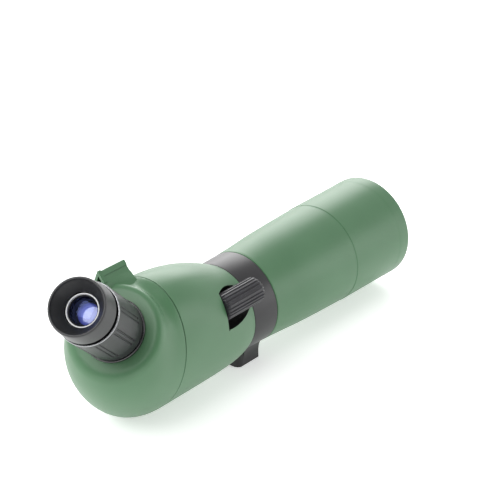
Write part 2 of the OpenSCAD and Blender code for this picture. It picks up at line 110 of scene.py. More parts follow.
SOFTBOXES = {
    "ahead_left": ((-0.95, 1.05, 0.75), (0, 0, 0.05), 1.1, 14.0),
    "behind_above": ((0.05, -1.05, 1.2), (0, -0.15, 0.08), 0.9, 11.0),
    "behind_left": ((-1.0, -0.6, 0.6), (0, -0.1, 0.08), 0.8, 3.0),
    "right_low": ((1.1, 0.9, 0.3), (0, 0.05, 0.05), 0.7, 3.0),
}
for name, (place, target, size, power) in SOFTBOXES.items():
    lamp = bpy.data.lights.new(name, "AREA")
    lamp.shape = "SQUARE"
    lamp.size = size
    lamp.energy = power
    lamp_object = bpy.data.objects.new(name, lamp)
    lamp_object.location = place
    lamp_object.rotation_euler = (Vector(target) - Vector(place)).to_track_quat("-Z", "Y").to_euler()
    bpy.context.scene.collection.objects.link(lamp_object)


# Sliding sunshade: an aluminium tube moulded over with green soft-touch elastomer.
# It slides on a felt ring under it, so its rear edge stands a little proud of the front tube.
TUBE_ROLL = 24
TUBE = Matrix.Translation((0, 0, AXIS_HEIGHT)) @ Matrix.Rotation(math.radians(TUBE_ROLL), 4, "Y")
ALONG = TUBE @ Matrix.Rotation(math.radians(-90), 4, "X")
SHADE_REAR = 119.3
SHADE_FRONT = 196.1
SHADE_R = 48
SHADE_BORE = 45.6
SHADE_BAND = 12
LIP_R = 44.8
LIP_DEPTH = 2.5


def build(name, points, faces, place, sharp=35):
    """Mesh object from points in millimetres, smooth except at edges sharper than the angle."""
    mesh = bpy.data.meshes.new(name)
    mesh.from_pydata([Vector(p) * MM for p in points], [], faces)
    work = bmesh.new()
    work.from_mesh(mesh)
    bmesh.ops.remove_doubles(work, verts=work.verts, dist=1e-7)
    bmesh.ops.recalc_face_normals(work, faces=work.faces)
    work.to_mesh(mesh)
    work.free()
    mesh.transform(place)
    smooth(mesh, sharp)
    piece = bpy.data.objects.new(name, mesh)
    bpy.context.scene.collection.objects.link(piece)
    return piece


def smooth(mesh, sharp):
    """Smooth shading, except over edges sharper than the angle."""
    mesh.polygons.foreach_set("use_smooth", [True] * len(mesh.polygons))
    mesh.set_sharp_from_angle(angle=math.radians(sharp))


def skin(name, rings, place, loop=True, sharp=35):
    """Closed skin over rings of points: a loop of rings, or a stack with flat ends."""
    count = len(rings[0])
    points = [p for ring in rings for p in ring]
    pairs = [(j, (j + 1) % len(rings)) for j in range(len(rings) if loop else len(rings) - 1)]
    faces = [
        (a * count + i, a * count + (i + 1) % count, b * count + (i + 1) % count, b * count + i)
        for a, b in pairs
        for i in range(count)
    ]
    if not loop:
        faces.append(tuple(range(count)))
        faces.append(tuple((len(rings) - 1) * count + i for i in range(count)))
    return build(name, points, faces, place, sharp)


def rounded(corners, steps=5):
    """Closed outline with rounded corners, from (radius, position, rounding) corners."""
    outline = []
    for i, (x, y, bend) in enumerate(corners):
        here = Vector((x, y))
        if not bend:
            outline.append(here)
            continue
        before = Vector(corners[i - 1][:2]) - here
        after = Vector(corners[(i + 1) % len(corners)][:2]) - here
        first = here + before.normalized() * min(bend, before.length * 0.49)
        last = here + after.normalized() * min(bend, after.length * 0.49)
        for k in range(steps + 1):
            t = k / steps
            outline.append(first * (1 - t) ** 2 + here * 2 * t * (1 - t) + last * t * t)
    return outline


def turned(name, outline, place, steps=180, swell=None, sharp=35):
    """Ring turned from an outline; swell may change the radius with the angle and position."""
    rings = []
    for r, t in outline:
        ring = []
        for i in range(steps):
            a = 2 * math.pi * i / steps
            wide = swell(r, t, a) if swell else r
            ring.append((wide * math.sin(a), wide * math.cos(a), t))
        rings.append(ring)
    return skin(name, rings, place, sharp=sharp)


def finish(piece, material, body, slot, *nodes):
    """Gives a piece its material, its body and the nodes it stands for."""
    piece.data.materials.clear()
    piece.data.materials.append(material)
    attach(piece, body)
    if nodes:
        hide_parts(*nodes)
    return piece


def surface(name, dark, light, patch_mm, grain_mm, relief_mm, rough, rough_spread=0.06, **sockets):
    """Material with a slow colour drift, a fine grain in relief and an uneven gloss."""
    material = bpy.data.materials.new(name)
    material.use_nodes = True
    tree = material.node_tree
    shader = tree.nodes["Principled BSDF"]
    for socket, value in sockets.items():
        shader.inputs[socket.replace("_", " ")].default_value = value
    place = add(tree, "TexCoord").outputs["Object"]
    drift = add(tree, "TexNoise", {"Scale": 1 / (patch_mm * MM), "Detail": 4.0}, {"Vector": place})
    colour = add(tree, "ValToRGB", links={"Fac": drift.outputs["Fac"]})
    colour.color_ramp.elements[0].position = 0.3
    colour.color_ramp.elements[0].color = linear(dark)
    colour.color_ramp.elements[1].position = 0.7
    colour.color_ramp.elements[1].color = linear(light)
    tree.links.new(colour.outputs["Color"], shader.inputs["Base Color"])
    grain = add(tree, "TexNoise", {"Scale": 1 / (grain_mm * MM), "Detail": 2.0}, {"Vector": place})
    gloss = add(
        tree,
        "MapRange",
        {"To Min": rough - rough_spread, "To Max": rough + rough_spread},
        {"Value": grain.outputs["Fac"]},
    )
    tree.links.new(gloss.outputs["Result"], shader.inputs["Roughness"])
    relief = add(
        tree, "Bump", {"Strength": 1.0, "Distance": relief_mm * MM}, {"Height": grain.outputs["Fac"]}
    )
    tree.links.new(relief.outputs["Normal"], shader.inputs["Normal"])
    return material


# Soft-touch elastomer: matt green with a very fine sandy grain and a soft, wide sheen.
green_shell = surface(
    "soft_touch_green", "#4a7451", "#507a57", 60, 0.5, 0.012, 0.4, Specular_IOR_Level=0.5, IOR=1.5
)
shade = turned(
    "sunshade_skin",
    rounded([
        (LIP_R, SHADE_REAR, 0), (46.85, SHADE_REAR, 0.1), (47.05, SHADE_REAR + 0.8, 0.5),
        (SHADE_R - 0.2, SHADE_FRONT - SHADE_BAND - 2, 2), (SHADE_R, SHADE_FRONT - SHADE_BAND, 2),
        (SHADE_R, SHADE_FRONT, 1.2), (SHADE_BORE, SHADE_FRONT, 1.0),
        (SHADE_BORE, SHADE_REAR + LIP_DEPTH, 0), (LIP_R, SHADE_REAR + LIP_DEPTH, 0),
    ]),
    ALONG,
    steps=240,
)
finish(shade, green_shell, "hood", "green_shell", "sunshade")
# Matt black paint sprayed inside the tube: it swallows light, so the mouth looks deep.
shade_black = surface("shade_lining", "#0c0d0c", "#121312", 20, 0.4, 0.02, 0.75)
shade.data.materials.append(shade_black)
to_axis = ALONG.inverted()
for face in shade.data.polygons:
    x, y, t = (to_axis @ face.center) / MM
    if math.hypot(x, y) < SHADE_BORE + 0.02 and t < SHADE_FRONT - 0.8:
        face.material_index = 1


# Front tube: one moulding of the same green elastomer over a stiff polymer tube.
# It flares out of the collar, then runs nearly straight to the sunshade.
SHELL_END = 14.35
CORE_R = 33.9
JOINT_GAP = 0.06
CELL_SEAT = 172
TUBE_END = 190


def through(points, per=6):
    """Smooth curve through points, as a Catmull-Rom spline."""
    line = [Vector(p) for p in points]
    ends = [line[0] * 2 - line[1]] + line + [line[-1] * 2 - line[-2]]
    curve = []
    for a, b, c, d in zip(ends, ends[1:], ends[2:], ends[3:]):
        for k in range(per):
            t = k / per
            curve.append(
                0.5 * (2 * b + (c - a) * t + (2 * a - 5 * b + 4 * c - d) * t**2
                       + (3 * b - a - 3 * c + d) * t**3)
            )
    return curve + [line[-1]]


FLARE = [(41.6, 15.6), (41.9, 22), (42.8, 36), (44.4, 58), (45.6, 84), (46.4, 108), (46.65, SHADE_REAR - 0.5)]
tube_outline = (
    [Vector((CORE_R, SHELL_END)), Vector((40.7, SHELL_END)), Vector((41.4, 14.7))]
    + through(FLARE)
    + [Vector((46.7, SHADE_REAR - JOINT_GAP))]
    + [Vector(p) for p in (
        (44.5, SHADE_REAR - JOINT_GAP), (44.5, TUBE_END), (42.6, TUBE_END), (42.6, CELL_SEAT),
        (42, CELL_SEAT - 2), (42, SHADE_REAR), (41, 60), (39.4, 36), (38.6, 20), (36.4, 20),
        (36.4, 34), (CORE_R, 34))]
)
tube = turned("front_tube_skin", tube_outline, ALONG, steps=240)
finish(tube, green_shell, "scope", "green_shell", "front_tube")


# Prism housing: a moulded green shell that swells from the round collar to a tall oval seam.
# A scooped pocket in its right shoulder takes the focus knob.
COLLAR_R = 40.6
SEAM_Y = -114.9
SEAM_HALF_W = 47.4
SEAM_HALF_H = 66.5
SEAM_LIFT = 12.4
SHELL = 2.6
AROUND = 192
KNOB_ANGLE = math.radians(62)
KNOB_X = 53.4 * math.cos(KNOB_ANGLE)
KNOB_Z = 53.4 * math.sin(KNOB_ANGLE)
POCKET_SHIFT = 2.5
POCKET_REAR = -60
POCKET_MOUTH_R = 14.1
POCKET_WALL_R = 19.8
AT_KNOB = (
    TUBE @ Matrix.Translation((KNOB_X * MM, 0, KNOB_Z * MM)) @ Matrix.Rotation(math.radians(-90), 4, "X")
)
DOWN_THE_SIDE = TUBE.to_3x3() @ Vector((math.sin(KNOB_ANGLE), 0, -math.cos(KNOB_ANGLE)))
AT_POCKET = Matrix.Translation(DOWN_THE_SIDE * POCKET_SHIFT * MM) @ AT_KNOB


def rise(s):
    """Share of its full height that the housing has reached at s."""
    return math.sin(math.pi / 2 * s) ** 1.15


def oval(s, y, inset):
    """Ring of the housing at s, from 0 at the collar to 1 at the seam."""
    w = COLLAR_R + (SEAM_HALF_W - COLLAR_R) * (1 - (1 - s) ** 6) - inset
    h = COLLAR_R + 2 * (1 - (1 - s) ** 12) + (SEAM_HALF_H - COLLAR_R - 2) * rise(s) - inset
    ring = []
    for i in range(AROUND):
        a = 2 * math.pi * i / AROUND
        ring.append((w * math.sin(a), y, SEAM_LIFT * rise(s) + h * math.cos(a)))
    return ring


def housing_rings(inset, y0, y1, count):
    """Rings of the housing, closer together near the collar where it swells fastest."""
    rings = []
    for j in range(count + 1):
        s = (j / count) ** 1.6
        rings.append(oval(s, y0 + (y1 - y0) * s, inset))
    return rings


def circle(r, y):
    """Round ring about the tube's axis."""
    step = 2 * math.pi / AROUND
    return [(r * math.sin(i * step), y, r * math.cos(i * step)) for i in range(AROUND)]


def carve(piece, tool, operation):
    """Applies a boolean of the tool to the piece and removes the tool."""
    cut = piece.modifiers.new("cut", "BOOLEAN")
    cut.solver = "EXACT"
    cut.operation = operation
    cut.object = tool
    bpy.context.view_layer.update()
    shaped = bpy.data.meshes.new_from_object(piece.evaluated_get(bpy.context.evaluated_depsgraph_get()))
    piece.modifiers.remove(cut)
    old = piece.data
    piece.data = shaped
    bpy.data.meshes.remove(old)
    bpy.data.objects.remove(tool)


def rod_outline(r, rear, front):
    """Outline of a plain rod, for cutting a round hole."""
    return [Vector((0, rear)), Vector((r, rear)), Vector((r, front)), Vector((0, front))]


outer = housing_rings(0, -SHELL_END, SEAM_Y, 72)
lip = [[(x * 0.992, -SHELL_END, z * 0.992) for x, y, z in outer[0]]]
outer[-1] = [(x, SEAM_Y + 0.3, z) for x, y, z in outer[-1]]
outer.append(oval(1, SEAM_Y, 0.35))
outer[0] = [(x, -SHELL_END - 0.35, z) for x, y, z in outer[0]]
inner = housing_rings(SHELL, -SHELL_END - 3, SEAM_Y, 24)[::-1]
housing = skin(
    "prism_housing_skin",
    [circle(CORE_R, -SHELL_END)] + lip + outer + inner + [circle(CORE_R, -SHELL_END - 3)],
    TUBE,
)
pocket_profile = through([
    (16.2, POCKET_REAR), (16.8, -53), (16.9, -46), (16.5, -40), (15.8, -34), (15, -28), (14.3, -22),
    (POCKET_MOUTH_R, -16)])
pocket_wall = [Vector(p) for p in (
    (0, POCKET_REAR - 3), (POCKET_WALL_R, POCKET_REAR - 3), (POCKET_WALL_R, -40), (17, -18), (0, -18))]
wall = turned("pocket_wall", pocket_wall, AT_POCKET, steps=96)
outer_shape = skin("outer_shape", housing_rings(0.4, -SHELL_END - 0.5, SEAM_Y, 40), TUBE, loop=False)
carve(wall, outer_shape, "INTERSECT")
carve(wall, turned("tube_room", rod_outline(36, POCKET_REAR - 6, 0), ALONG, steps=96), "DIFFERENCE")
carve(housing, wall, "UNION")
pocket = [Vector((0, POCKET_REAR))] + pocket_profile + [Vector((POCKET_MOUTH_R, 0)), Vector((0, 0))]
carve(housing, turned("pocket", pocket, AT_POCKET, steps=160), "DIFFERENCE")
smooth(housing.data, 32)
finish(housing, green_shell, "scope", "green_shell", "prism_housing")
# Flat black on the pocket's walls: painted shade in the hollow that the knob sits in.
pocket_shade_paint = surface("pocket_painted_shade", "#0a0d0b", "#101411", 15, 0.4, 0.01, 0.7)
housing.data.materials.append(pocket_shade_paint)
to_pocket = AT_POCKET.inverted()
# Faces inside the pocket's profile take the painted shade.
for face in housing.data.polygons:
    x, y, t = (to_pocket @ face.center) / MM
    here = [p.x for p, q in zip(pocket_profile, pocket_profile[1:]) if p.y <= t <= q.y]
    reach = max(here or [POCKET_MOUTH_R])
    if math.hypot(x, y) < reach + 0.05 and POCKET_REAR - 0.1 < t < -SHELL_END - 0.1:
        face.material_index = 1


# Rear cap: the second half of the prism housing, moulded in the same green.
# Its round belly turns up into a raised shoulder round the eyepiece, 45 degrees to the tube.
EYE_BASE = Vector((0, -160.1, 55.4))
EYE_AXIS = Vector((0, -math.sqrt(0.5), math.sqrt(0.5)))
EYE_UP = Vector((0, math.sqrt(0.5), math.sqrt(0.5)))
AT_EYE = TUBE @ Matrix.Translation(EYE_BASE * MM) @ Matrix.Rotation(math.radians(45), 4, "X")
PORT_R = 38
PORT_FACE = -2
SHOULDER = 6.5
SEAM_GAP = 0.6
BARREL_R = 20.2
PORT_LEAN = 0.375
SEAM_PULL = 0.29
PORT_PULL = 0.36


def cap_line(a, inset, y0, steps, turns):
    """One line of the cap's skin, from the seam over the shoulder to the flat of the port."""
    start = Vector((
        (SEAM_HALF_W - inset) * math.sin(a), y0, SEAM_LIFT + (SEAM_HALF_H - inset) * math.cos(a)))
    out = Vector((math.sin(a), 0, 0)) + EYE_UP * math.cos(a)
    corner = EYE_BASE + out * (PORT_R - inset) + EYE_AXIS * (PORT_FACE - inset)
    lean = PORT_LEAN * (1 - math.cos(a))
    arrive = (EYE_AXIS - out * lean).normalized()
    edge = corner - arrive * SHOULDER
    inside = corner - out * SHOULDER
    reach = (edge - start).length
    first = start + Vector((0, -SEAM_PULL * reach, 0))
    second = edge - arrive * PORT_PULL * reach
    line = []
    for k in range(steps + 1):
        t = k / steps
        line.append(
            start * (1 - t) ** 3 + first * 3 * t * (1 - t) ** 2 + second * 3 * t * t * (1 - t) + edge * t**3
        )
    for k in range(1, turns + 1):
        t = k / turns
        line.append(edge * (1 - t) ** 2 + corner * 2 * t * (1 - t) + inside * t * t)
    return line


def port_circle(r, t):
    """Round ring about the eyepiece's axis."""
    ring = []
    for i in range(AROUND):
        a = 2 * math.pi * i / AROUND
        ring.append(EYE_BASE + (Vector((math.sin(a), 0, 0)) + EYE_UP * math.cos(a)) * r + EYE_AXIS * t)
    return ring


def cap_rings(inset, y0, steps, turns):
    """The cap's lines, turned into rings from the seam to the port."""
    lines = [cap_line(2 * math.pi * i / AROUND, inset, y0, steps, turns) for i in range(AROUND)]
    return [[line[j] for line in lines] for j in range(steps + turns + 1)]


skin_rings = cap_rings(0, SEAM_Y - SEAM_GAP, 48, 10)
skin_rings[0] = [p + Vector((0, -0.3, 0)) for p in skin_rings[0]]
skin_rings.insert(0, [Vector(p) for p in oval(1, SEAM_Y - SEAM_GAP, 0.35)])
room_rings = cap_rings(SHELL, SEAM_Y - SEAM_GAP, 24, 4)[::-1]
SLEEVE_R = 25
SLEEVE_END = -20
bore_rings = [
    port_circle(SLEEVE_R + 1, PORT_FACE), port_circle(BARREL_R + 0.1, PORT_FACE),
    port_circle(BARREL_R + 0.1, SLEEVE_END), port_circle(SLEEVE_R, SLEEVE_END),
    port_circle(SLEEVE_R, PORT_FACE - SHELL),
]
cap = skin("rear_cap_skin", skin_rings + bore_rings + room_rings, TUBE, sharp=40)
finish(cap, green_shell, "scope", "green_shell", "rear_cap")


# Seam gasket: a thin black rubber ring pressed between the housing and the cap.
# It sits just under the surface, so the seam shows as a fine dark line.
# Dull black rubber: it gives the seam its dark line.
seal_rubber = surface("gasket_rubber", "#0b0c0b", "#101210", 20, 0.4, 0.01, 0.7)
nodes = frame["nodes"]


def dress(material, *names):
    """Puts a material on frame nodes that keep their own shape."""
    for name in names:
        nodes[name].data.materials.clear()
        nodes[name].data.materials.append(material)


dress(seal_rubber, "cap_seal")


# Finder sight: a narrow peep tunnel with a gabled roof, moulded with the cap.
# The roof overhangs its walls by a small ledge, and a raised rim frames the rear opening.
SIGHT_X = -39.4
SIGHT_Z = 78.7
SIGHT_TILT = 31
ROOF_ANGLE = 31
SIGHT_DEPTH = 10.4
SIGHT_REAR = -147.6
SIGHT_FRONT = SEAM_Y - 3.8
AT_SIGHT = (
    TUBE @ Matrix.Translation((SIGHT_X * MM, 0, SIGHT_Z * MM))
    @ Matrix.Rotation(math.radians(-SIGHT_TILT), 4, "Y")
)
SLOPE = math.tan(math.radians(ROOF_ANGLE))


def sight_section(y, drop, ledge, spread):
    """Section of the tunnel and its base, which spreads into the cap on the right."""
    def side(depth, inset=0.0):
        return (depth - drop) * SLOPE + 0.5 - inset
    right = [
        (0.45, -drop), (side(drop + 0.5), -drop - 0.5), (side(4.6), -4.6), (side(5.0, ledge), -5.0),
        (side(7.2, ledge), -7.2), (side(8.4, ledge) + 0.2, -8.6), (5.6 + 0.9 * spread, -10.6),
        (6.0 + 2.4 * spread, -12.8), (6.4 + 4.8 * spread, -15.2), (6.8 + 8.4 * spread, -18)]
    left = [(-6.6, -25), (-side(SIGHT_DEPTH) - 0.3, -12.5)] + [(-x, z) for x, z in right[:6]][::-1]
    return [(x, y, z) for x, z in right + [(0, -22)] + left]


sight = skin(
    "finder_sight_skin",
    [
        sight_section(SIGHT_REAR, 0.2, 0.0, 0), sight_section(SIGHT_REAR + 0.25, 0, 0.0, 0),
        sight_section(SIGHT_REAR + 2.8, 0, 0.0, 0.05), sight_section(SIGHT_REAR + 3.1, 1.0, 0.7, 0.05),
        sight_section(SIGHT_REAR + 12, 1.0, 0.7, 0.6),
        sight_section(SIGHT_FRONT - 0.2, 1.0, 0.7, 1), sight_section(SIGHT_FRONT, 1.2, 0.9, 0.95),
    ],
    AT_SIGHT,
    loop=False,
    sharp=25,
)
opening = ((0.3, -4.6), (3.6, -SIGHT_DEPTH), (-3.6, -SIGHT_DEPTH), (-0.3, -4.6))
tunnel = [[(x, y, z) for x, z in opening] for y in (-160, -100)]
carve(sight, skin("tunnel_room", tunnel, AT_SIGHT, loop=False), "DIFFERENCE")
smooth(sight.data, 25)
finish(sight, green_shell, "scope", "green_shell", "finder_sight")


# Tripod collar: a cast ring with a foot, enamelled satin black, that clamps the tube.
# The foot flares into the ring and has rounded rear corners.
COLLAR_HALF = 14
COLLAR_BORE = 36.55
FOOT_HALF = 19
FOOT_REAR = -6
FOOT_CORNER = 6
STUD_ROOM = 3.05
AXLE = Matrix.Translation((0, 0, AXIS_HEIGHT)) @ Matrix.Rotation(math.radians(-90), 4, "X")
LOCK = Matrix.Translation((0, 0, AXIS_HEIGHT)) @ Matrix.Rotation(math.radians(-90), 4, "Y")
# Baked enamel on a cast ring: a smooth black with a broad, soft shine.
enamel = surface("satin_black_enamel", "#1c1b1e", "#222124", 30, 0.35, 0.006, 0.36, 0.04)
collar = turned(
    "tripod_collar_skin",
    rounded([
        (COLLAR_BORE, -COLLAR_HALF, 0), (COLLAR_R, -COLLAR_HALF, 0.5),
        (COLLAR_R + 0.8, COLLAR_HALF, 0.5), (COLLAR_BORE, COLLAR_HALF, 0)]),
    AXLE,
    steps=240,
)
flare = through([(19, 0.6), (19, 6), (19.6, 12), (21.8, 18), (26, 24.5), (30, 30)], 4)
half_section = [(18.4, 0)] + [tuple(p) for p in flare]
section = half_section + [(0, 42)] + [(-x, z) for x, z in half_section[::-1]]
foot = skin(
    "foot_shape", [[(x, y, z) for x, z in section] for y in (-20, 20)], Matrix.Identity(4), loop=False
)
plan = [(31, COLLAR_HALF), (31, FOOT_REAR), (FOOT_HALF, FOOT_REAR)]
for k in range(9):
    a = math.pi / 2 * k / 8
    plan.append((FOOT_HALF - FOOT_CORNER + FOOT_CORNER * math.cos(a), FOOT_REAR - FOOT_CORNER * math.sin(a)))
plan = plan + [(-x, y) for x, y in plan[::-1]]
plan_rings = [[(x, y, z) for x, y in plan] for z in (-1, 60)]
foot_plan = skin("foot_plan", plan_rings, Matrix.Identity(4), loop=False)
carve(foot, foot_plan, "INTERSECT")
carve(foot, turned("ring_room", rod_outline(COLLAR_BORE, -30, 30), AXLE, steps=240), "DIFFERENCE")
carve(foot, turned("socket_room", rod_outline(5, -1, 10), Matrix.Identity(4), steps=64), "DIFFERENCE")
boss_outline = rounded([(0, 38, 0), (9.5, 38, 0), (8.5, 45.5, 0.8), (0, 45.5, 0)])
boss = turned("lock_boss", boss_outline, LOCK, steps=96)
carve(collar, foot, "UNION")
carve(collar, boss, "UNION")
carve(collar, turned("stud_room", rod_outline(STUD_ROOM, 30, 60), LOCK, steps=48), "DIFFERENCE")
smooth(collar.data, 30)
finish(collar, enamel, "stand", "collar_black", "tripod_collar")


# Collar's inner pieces: a turned brass tripod thread pressed into the foot, and a smooth
# black bearing liner snapped into the ring, which the tube turns on.
# Turned brass, bright and warm; the focus drive's bushing and nut are the same.
brass = surface("turned_brass", "#b08a3e", "#c29c50", 12, 0.3, 0.004, 0.28, Metallic=1.0)
# Self-oiling plastic: plain black with a low sheen.
liner = surface("bearing_plastic", "#131313", "#191919", 20, 0.5, 0.004, 0.45)
dress(brass, "thread_insert", "focus_bushing", "lead_nut")
dress(liner, "collar_liner")


# Lock knob: a seven-lobed black moulding on a turned steel stud.
# Screwed in through the collar's boss, it clamps the ring on the tube.
# Moulded plastic straight from a spark-eroded mould: black with a fine, even grain.
moulded_black = surface("moulded_black_plastic", "#1d1d20", "#242428", 18, 0.5, 0.015, 0.42)
# Turned steel: cool and bright, used for every screw, rod, shaft and clip.
bright_steel = surface("turned_steel", "#b4b6ba", "#c8cacd", 10, 0.25, 0.003, 0.24, Metallic=1.0)


def lobed(r, t, a):
    """Radius of the lock knob, with seven finger hollows above its neck."""
    if r < 9:
        return r
    return r - 1.9 * (0.5 - 0.5 * math.cos(7 * a)) ** 2 * (1 if t > 47 else 0)


knob_outline = rounded([
    (STUD_ROOM, 46.5, 0), (7, 46.5, 0.4), (7, 49.5, 0), (12, 49.5, 1.2), (12, 60.5, 1.8), (8, 60.5, 1.0),
    (7.2, 59.6, 0.6), (0, 59.6, 0), (0, 54.5, 0), (STUD_ROOM, 54.5, 0)])
lock_knob = turned("lock_knob_skin", knob_outline, LOCK, steps=196, swell=lobed)
finish(lock_knob, moulded_black, "collar_lock", "knob_black", "lock_knob")
dress(bright_steel, "lock_stud", "chassis_screws", "prism_strap", "strap_screws", "guide_rods",
      "focus_shaft", "shaft_clip")


# Focus knob: a ribbed roller of black rubber-like plastic, half sunk in its pocket.
# Twenty-two flat ribs run along it and fade into its rounded front end.
KNOB_R = 11.2
KNOB_FRONT = -14.1
KNOB_REAR = -59
KNOB_BEND = 3.2
KNOB_REAR_BEND = 2
KNOB_STRAIGHT = 39.2
RIBS = 22
# Moulded rubber-like plastic: dark grey-black whose rib edges catch the light.
ribbed_black = surface("ribbed_black_plastic", "#252529", "#2e2e33", 12, 0.4, 0.02, 0.4)


def ribbed(r, t, a):
    """Radius with trapezoid ribs, full depth along the knob and none at its end face."""
    if r < KNOB_R - KNOB_BEND:
        return r
    wave = math.cos(RIBS * a)
    groove = min(max((wave + 0.15) * 1.8, 0), 1)
    fade = min(max((r - (KNOB_R - KNOB_BEND)) / 1.4, 0), 1)
    return r - 1.0 * groove * fade


knob_outline = [Vector((0, KNOB_REAR))]
knob_outline += [
    Vector((
        KNOB_R - KNOB_REAR_BEND + KNOB_REAR_BEND * math.sin(b),
        KNOB_REAR + KNOB_REAR_BEND - KNOB_REAR_BEND * math.cos(b)))
    for b in [math.pi / 2 * k / 6 for k in range(7)]
]
knob_outline += [
    Vector((KNOB_R, KNOB_REAR + KNOB_REAR_BEND + KNOB_STRAIGHT * k / 8)) for k in range(1, 8)
]
knob_outline += [
    Vector((
        KNOB_R - KNOB_BEND + KNOB_BEND * math.sin(b), KNOB_FRONT - KNOB_BEND + KNOB_BEND * math.cos(b)))
    for b in [math.pi / 2 * (1 - k / 8) for k in range(9)]
]
knob_outline.append(Vector((0, KNOB_FRONT)))
knob = turned("focus_knob_skin", knob_outline, AT_KNOB, steps=RIBS * 12, swell=ribbed, sharp=28)
finish(knob, ribbed_black, "focus_drive", "knob_black", "focus_knob")


# Eyepiece barrel, and the ring at its foot: turned aluminium tubes, anodised black.
# The barrel screws into the cap's port, and the polished ring covers the joint.
# Anodised aluminium: a soft metallic black, used for the tubes, cells and carriers inside too.
anodised = surface("black_anodised_aluminium", "#17171a", "#1e1e22", 15, 0.25, 0.003, 0.38, Metallic=0.6)
# Lacquered and polished: a deep black with a sharp, thin shine.
polished = surface("polished_black_ring", "#0c0c0e", "#121215", 25, 0.6, 0.001, 0.08, 0.02, Coat_Weight=0.6)
port_ring = turned(
    "port_ring_skin",
    rounded([
        (20.3, -2, 0), (25.2, -2, 0), (25.7, -1, 0.4), (25.7, 1.1, 0.6), (24.9, 1.7, 0.3), (20.3, 1.7, 0)]),
    AT_EYE,
)
finish(port_ring, polished, "scope", "gloss_black", "port_ring")
dress(anodised, "core_tube", "prism_chassis", "focus_carriage", "eyepiece_barrel", "zoom_sleeve",
      "variator_cell", "compensator_cell")


# Zoom grip: moulded black rubber over the zoom ring, nine raised panels between paired grooves.
# A plain band runs round its foot, and a short notch marks the lower end of each groove.
GRIP_R = 24.9
ZOOM_TOP = 57.6
PANELS = 9
GRIP_BORE = 22.55
RING_SEAT_R = 24.1
# Moulded rubber: charcoal, with a fine grain and a dusty, low sheen; the eyecup is the same.
rubber = surface("moulded_rubber", "#212224", "#292a2c", 14, 0.45, 0.02, 0.4)


def panelled(r, t, a):
    """Radius of the grip with its groove pairs and their end notches."""
    if r < 23.5 or t < 13.5 or t > ZOOM_TOP - 3.6:
        return r
    pitch = 2 * math.pi / PANELS
    across = (a + pitch / 2) % pitch - pitch / 2
    line = min(abs(abs(across) - 0.07), 1)
    groove = max(0, 1 - (line / 0.028) ** 4) * 0.9
    notch = max(0, 1 - (line / 0.045) ** 2 - ((t - 14.6) / 1.2) ** 2) * 1.3
    return r - max(groove, notch)


grip_outline = [Vector(p) for p in (
    (GRIP_BORE, 2.4), (24.0, 2.4), (24.4, 2.7), (24.55, 3.2), (24.55, 12), (24.7, 12.6))]
grip_outline += [Vector((GRIP_R, 13.1 + 0.4 * k)) for k in range(10)]
grip_outline += [Vector((GRIP_R, 17 + 34 * k / 6)) for k in range(1, 7)]
grip_outline += [Vector(p) for p in (
    (GRIP_R, 53.9), (GRIP_R, 54.1), (GRIP_R, ZOOM_TOP - 1.3), (GRIP_R - 0.2, ZOOM_TOP - 1.05),
    (RING_SEAT_R, ZOOM_TOP - 1.05), (RING_SEAT_R, ZOOM_TOP - 2.25), (GRIP_BORE, ZOOM_TOP - 2.25))]
grip = turned("zoom_grip_skin", grip_outline, AT_EYE, steps=540, swell=panelled, sharp=28)
finish(grip, rubber, "zoom_ring", "grip_rubber", "zoom_grip")


# Silver ring: a thin aluminium band, diamond-turned and left bare.
# It is pressed on at the top of the zoom ring and turns with it.
# Bare turned aluminium: a pale, clean metallic edge.
SILVER_BORE = 24.02
silver = surface("turned_aluminium", "#a4a6a9", "#b9bbbd", 8, 0.2, 0.002, 0.26, Metallic=1.0)
silver_ring = turned(
    "silver_ring_skin",
    rounded([
        (SILVER_BORE, ZOOM_TOP - 1.02, 0), (24.85, ZOOM_TOP - 1.02, 0.1),
        (24.75, ZOOM_TOP - 0.35, 0.3), (SILVER_BORE, ZOOM_TOP - 0.15, 0.1)]),
    AT_EYE,
    steps=240,
)
finish(silver_ring, silver, "zoom_ring", "silver", "silver_ring")


# Eyecup: soft black rubber with a rounded lip and a smooth cone down to the eye lens.
# It twists up on its sleeve, which leaves the deep black gap over the silver ring.
RIM = 80.7
CUP_BASE = 60.9
CUP_BORE = 21.3
CONE_R = 13.7
eyecup = turned(
    "eyecup_skin",
    rounded([
        (CUP_BORE, CUP_BASE, 0.3), (23.85, CUP_BASE, 0.9), (22.85, RIM - 1.6, 3), (22.3, RIM - 0.15, 0.5),
        (20.9, RIM - 0.25, 0.4), (20.5, RIM - 1.6, 0.7), (CONE_R, 70, 0.6), (CONE_R, 68.7, 0),
        (CUP_BORE, 68.7, 0)], 8),
    AT_EYE,
    steps=240,
)
finish(eyecup, rubber, "eyecup_ring", "grip_rubber", "eyecup")


# Blackened inner pieces: turned aluminium stops, cells and sleeve, screwed or pressed in place.
# A felt ring glued round the front tube carries the sunshade.
# Anti-reflection paint: a flat black with almost no shine.
inner_black = surface("flat_black", "#08080a", "#0d0d0f", 15, 0.3, 0.01, 0.75)
# Pressed wool felt: a dull, fibrous black.
felt = surface("black_felt", "#0e0e0f", "#161617", 6, 0.2, 0.05, 0.9)
dress(inner_black, "light_baffles", "objective_cell", "objective_spacer", "objective_retainer", "field_stop",
      "eyecup_sleeve", "eye_lens_cell")
dress(felt, "shade_guide_ring")


